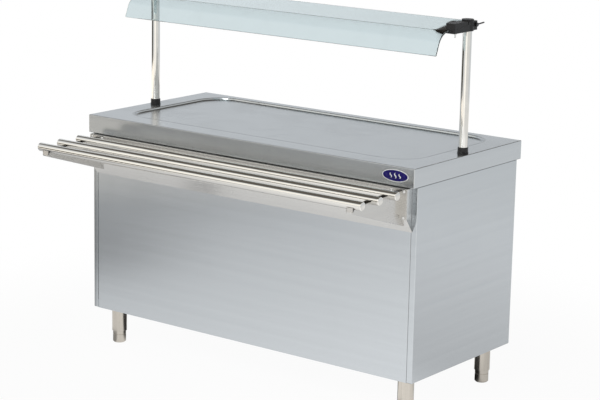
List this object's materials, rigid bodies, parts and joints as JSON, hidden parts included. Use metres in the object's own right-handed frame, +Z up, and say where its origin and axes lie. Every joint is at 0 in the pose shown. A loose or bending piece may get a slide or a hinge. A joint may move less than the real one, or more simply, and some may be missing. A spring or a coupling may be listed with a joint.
{
  "type": "heated self-service counter",
  "caption": "Stainless heated serving counter with a recessed flat deck, curved glass guard on posts, tubular tray slide, sliding rear doors and adjustable feet.",
  "frame": {"origin": "on the floor, under the middle of the whole footprint with the tray slide", "axes": "+X to the right seen from the customer's side, +Y towards the operator's side, +Z up"},
  "size_m": [1.4, 0.923, 1.292],
  "materials": {
    "top_steel": "satin stainless sheet, grain along the length",
    "panel_steel": "satin stainless sheet, fine grain",
    "fold_steel": "satin stainless sheet, slightly brighter",
    "tube_steel": "polished stainless tube",
    "cap_steel": "bright polished caps",
    "leg_steel": "satin stainless tube, warm reflections",
    "bolt_steel": "plain bright screws",
    "black_plastic": "fine moulded grain, satin black",
    "black_casting": "glass-filled moulding, satin black",
    "dark_lever": "blackened steel",
    "pad_rubber": "soft black rubber",
    "guard_glass": "clear bent glass with a pale green-blue tint",
    "badge_blue": "dark blue enamel with a pale rim",
    "track_nylon": "grey nylon",
    "element_steel": "dark annealed tube",
    "insulation": "mineral wool board",
    "copper": "bare copper capillary",
    "ivory_plastic": "heat-proof moulding",
    "red_plastic": "translucent red rocker",
    "amber_lens": "ribbed amber lens"
  },
  "bodies": {
    "counter": {"worktop": "top_steel", "side_panel_left": "panel_steel", "side_panel_right": "panel_steel", "front_panel": "panel_steel", "base_shelf": "panel_steel", "mid_shelf": "panel_steel", "rear_header": "panel_steel", "door_track_top": "track_nylon", "door_track_bottom": "track_nylon", "leg_front_left": "leg_steel", "leg_front_right": "leg_steel", "leg_rear_left": "leg_steel", "leg_rear_right": "leg_steel", "leg_bolts": "bolt_steel", "console": "fold_steel", "tray_bracket_left": "fold_steel", "tray_bracket_right": "fold_steel", "tray_tube_front": "tube_steel", "tray_tube_middle": "tube_steel", "tray_tube_rear": "tube_steel", "tray_tube_caps": "cap_steel", "bracket_bolts": "bolt_steel", "post_left": "tube_steel", "post_right": "tube_steel", "post_collars": "black_plastic", "post_nuts": "bolt_steel", "clamp_body_left": "black_casting", "clamp_body_right": "black_casting", "clamp_jaw_left": "black_casting", "clamp_jaw_right": "black_casting", "clamp_pads": "pad_rubber", "clamp_screws": "bolt_steel", "glass_guard": "guard_glass", "heating_elements": "element_steel", "element_straps": "panel_steel", "insulation_board": "insulation", "heater_cover": "panel_steel", "heater_screws": "bolt_steel", "control_panel": "fold_steel", "panel_screws": "bolt_steel", "control_box": "panel_steel", "thermostat_body": "ivory_plastic", "thermostat_bulb": "copper", "switch_body": "black_plastic", "pilot_lamp": "amber_lens", "terminal_block": "ivory_plastic", "cable_gland": "black_plastic", "badge": "badge_blue"},
    "foot_front_left_body": {"foot_front_left": "leg_steel"},
    "foot_front_right_body": {"foot_front_right": "leg_steel"},
    "foot_rear_left_body": {"foot_rear_left": "leg_steel"},
    "foot_rear_right_body": {"foot_rear_right": "leg_steel"},
    "thermostat_knob_body": {"thermostat_knob": "black_plastic"},
    "switch_rocker_body": {"switch_rocker": "red_plastic"},
    "clamp_lever_left_body": {"clamp_lever_left": "dark_lever"},
    "clamp_lever_right_body": {"clamp_lever_right": "dark_lever"},
    "door_left_body": {"door_left": "panel_steel", "door_handle_left": "black_plastic"},
    "door_right_body": {"door_right": "panel_steel", "door_handle_right": "black_plastic"}
  },
  "joints": [
    {"name": "foot_front_left_travel", "type": "slide", "parent": "counter", "child": "foot_front_left_body", "axis": [0, 0, -1], "range_m": [0, 0.03]},
    {"name": "foot_front_right_travel", "type": "slide", "parent": "counter", "child": "foot_front_right_body", "axis": [0, 0, -1], "range_m": [0, 0.03]},
    {"name": "foot_rear_left_travel", "type": "slide", "parent": "counter", "child": "foot_rear_left_body", "axis": [0, 0, -1], "range_m": [0, 0.03]},
    {"name": "foot_rear_right_travel", "type": "slide", "parent": "counter", "child": "foot_rear_right_body", "axis": [0, 0, -1], "range_m": [0, 0.03]},
    {"name": "thermostat_turn", "type": "hinge", "parent": "counter", "child": "thermostat_knob_body", "pos_m": [-0.37, 0.4475, 0.73], "axis": [0, -1, 0], "range_deg": [0, 300]},
    {"name": "switch_tilt", "type": "hinge", "parent": "counter", "child": "switch_rocker_body", "pos_m": [-0.47, 0.4355, 0.73], "axis": [-1, 0, 0], "range_deg": [0, 20]},
    {"name": "clamp_lever_left_turn", "type": "hinge", "parent": "counter", "child": "clamp_lever_left_body", "pos_m": [-0.67, 0.1585, 1.27376], "axis": [1, 0, 0], "range_deg": [0, 90]},
    {"name": "clamp_lever_right_turn", "type": "hinge", "parent": "counter", "child": "clamp_lever_right_body", "pos_m": [0.67, 0.1585, 1.27376], "axis": [1, 0, 0], "range_deg": [0, 90]},
    {"name": "door_left_slide", "type": "slide", "parent": "counter", "child": "door_left_body", "axis": [1, 0, 0], "range_m": [0, 0.65]},
    {"name": "door_right_slide", "type": "slide", "parent": "counter", "child": "door_right_body", "axis": [-1, 0, 0], "range_m": [0, 0.65]}
  ]
}
